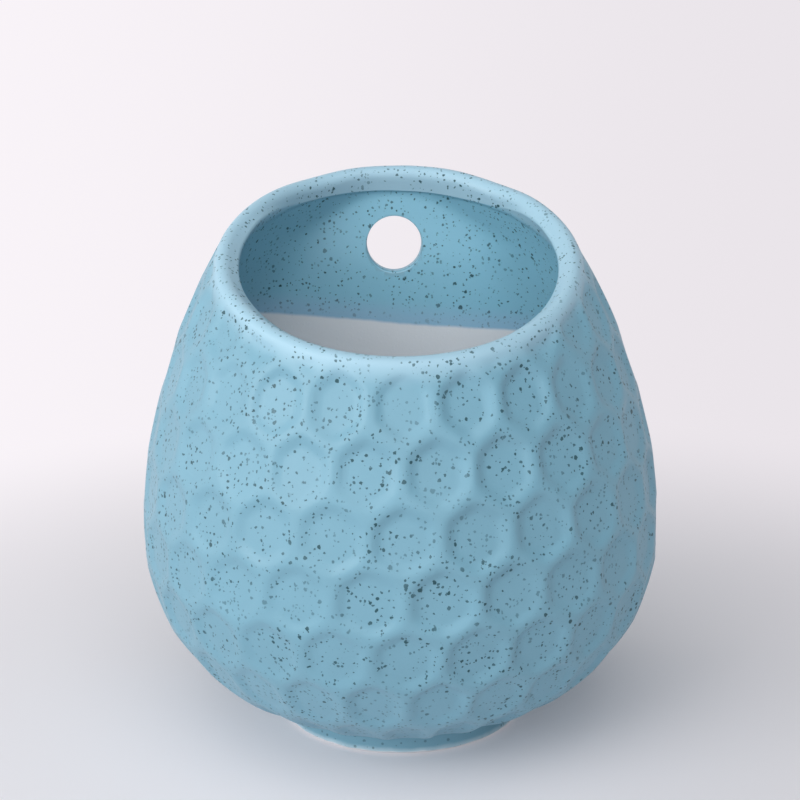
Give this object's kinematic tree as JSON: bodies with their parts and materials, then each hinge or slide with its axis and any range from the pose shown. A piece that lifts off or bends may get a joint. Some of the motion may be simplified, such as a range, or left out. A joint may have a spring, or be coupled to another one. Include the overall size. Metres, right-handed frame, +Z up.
{
  "type": "wall planter",
  "caption": "Small egg-shaped ceramic planter with a flat back, a sloped open mouth, a honeycomb of pressed dimples, a hole to hang it by and a drained floor on a low foot.",
  "frame": {"origin": "under the middle of the bounding box, on the plane that the foot stands on", "axes": "+X to the right seen from the front, -Y to the front, +Y into the wall, +Z up"},
  "size_m": [0.1196, 0.093, 0.1278],
  "materials": {
    "speckled_blue_glaze": "satin pale blue glaze with dark slate specks",
    "bare_white_clay": "matt unglazed fired white clay"
  },
  "bodies": {
    "root": {"rim": "speckled_blue_glaze", "back_wall": "speckled_blue_glaze", "front_shell": "speckled_blue_glaze", "foot_ring": "speckled_blue_glaze", "pot_floor": "bare_white_clay"}
  },
  "joints": []
}
